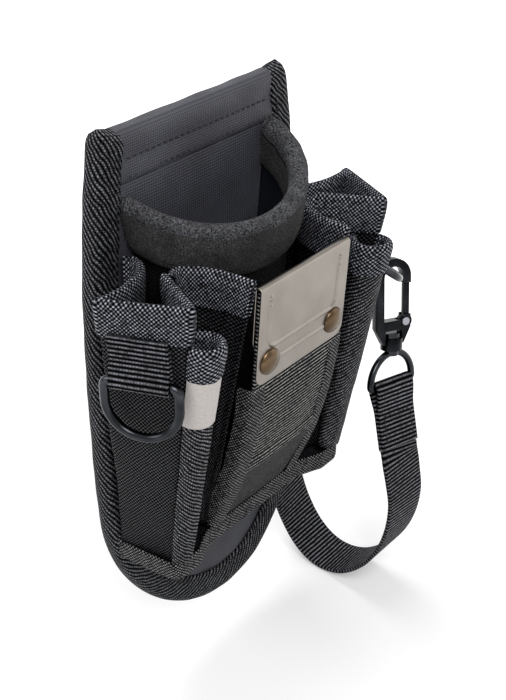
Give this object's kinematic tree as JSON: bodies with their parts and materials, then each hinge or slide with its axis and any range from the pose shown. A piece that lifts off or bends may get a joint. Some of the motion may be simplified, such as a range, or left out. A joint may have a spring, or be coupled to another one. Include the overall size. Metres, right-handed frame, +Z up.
{
  "type": "electrician tool pouch",
  "caption": "Hanging tool pouch for an electrician: stiff back panel with belt loop, pleated pockets, steel tape clip, D-rings and a strap with a swivel snap hook.",
  "frame": {"origin": "middle of the belt tunnel behind the panel", "axes": "+Z up, +X to the right seen from the front, -Y out of the pocket fronts"},
  "size_m": [0.1849, 0.0834, 0.2828],
  "materials": {
    "coated_cloth": "smooth coated",
    "board": "matt sheet",
    "rear_cloth": "woven",
    "binding_tape": "woven tape",
    "hem_cloth": "smooth coated",
    "webbing": "ribbed webbing",
    "shell_cloth": "plain weave",
    "liner_sheet": "smooth coated",
    "rim_felt": "brushed pile",
    "ribbed_cloth": "corded rib",
    "flap_cloth": "fine weave",
    "pocket_cloth": "basket weave",
    "label": "woven label",
    "ring_wire": "gunmetal, smooth",
    "clip_steel": "satin",
    "rivet_metal": "antique, domed",
    "hook_metal": "black, satin",
    "pin_steel": "bright"
  },
  "bodies": {
    "pouch": {"back_panel_front_skin": "coated_cloth", "back_panel_board": "board", "back_panel_rear_skin": "rear_cloth", "panel_edge_binding": "binding_tape", "top_hem": "hem_cloth", "belt_loop": "webbing", "main_pocket_shell": "shell_cloth", "main_pocket_liner": "liner_sheet", "main_pocket_rim": "rim_felt", "centre_pocket_front": "ribbed_cloth", "centre_pocket_flap": "flap_cloth", "left_centre_gusset": "pocket_cloth", "right_centre_gusset": "pocket_cloth", "left_pocket_wall": "pocket_cloth", "right_pocket_wall": "pocket_cloth", "left_mouth_tape": "binding_tape", "right_mouth_tape": "binding_tape", "left_pen_pocket": "pocket_cloth", "right_pen_pocket": "pocket_cloth", "left_pen_tape": "binding_tape", "right_pen_tape": "binding_tape", "pocket_floor": "pocket_cloth", "floor_tape": "binding_tape", "side_label": "label", "left_ring_tab": "webbing", "right_ring_tab": "webbing", "tape_clip": "clip_steel", "clip_rivets": "rivet_metal", "rivet_washers": "rivet_metal", "tape_strap": "webbing"},
    "left_ring": {"left_d_ring": "ring_wire"},
    "right_ring": {"right_d_ring": "ring_wire"},
    "strap_end": {"strap_end_loop": "webbing", "swivel_eye": "ring_wire"},
    "hook": {"hook_frame": "hook_metal", "gate_pin": "pin_steel", "gate_spring": "pin_steel"},
    "gate": {"hook_gate": "hook_metal"}
  },
  "joints": [
    {"name": "left_ring_swing", "type": "hinge", "parent": "pouch", "child": "left_ring", "pos_m": [-0.07449, -0.04228, -0.02168], "axis": [-0.3882, 0.9216, 0], "range_deg": [0, 150]},
    {"name": "right_ring_swing", "type": "hinge", "parent": "pouch", "child": "right_ring", "pos_m": [0.07449, -0.04228, -0.02168], "axis": [-0.3882, -0.9216, 0], "range_deg": [-8.2, 8.2]},
    {"name": "strap_lift", "type": "slide", "parent": "pouch", "child": "strap_end", "axis": [0.5924, -0.2495, 0.766], "range_m": [-0.0036, 0.0036], "stiffness_N_per_m": 150, "springref_m": 0.0015, "deforming": ["tape_strap"]},
    {"name": "hook_swivel", "type": "hinge", "parent": "strap_end", "child": "hook", "pos_m": [0.08671, -0.05612, -0.07661], "axis": [0.1525, 0.157, 0.9758], "range_deg": [-8, 12]},
    {"name": "gate_pivot", "type": "hinge", "parent": "hook", "child": "gate", "pos_m": [0.09476, -0.05681, -0.06341], "axis": [-0.4158, -0.8855, 0.2074], "range_deg": [0, 22], "stiffness_Nm_per_rad": 0.1, "springref_deg": -17.19}
  ],
  "couplings": [
    {"joint": "right_ring_swing", "follows": "strap_lift", "rad_per_m": 38.76}
  ]
}
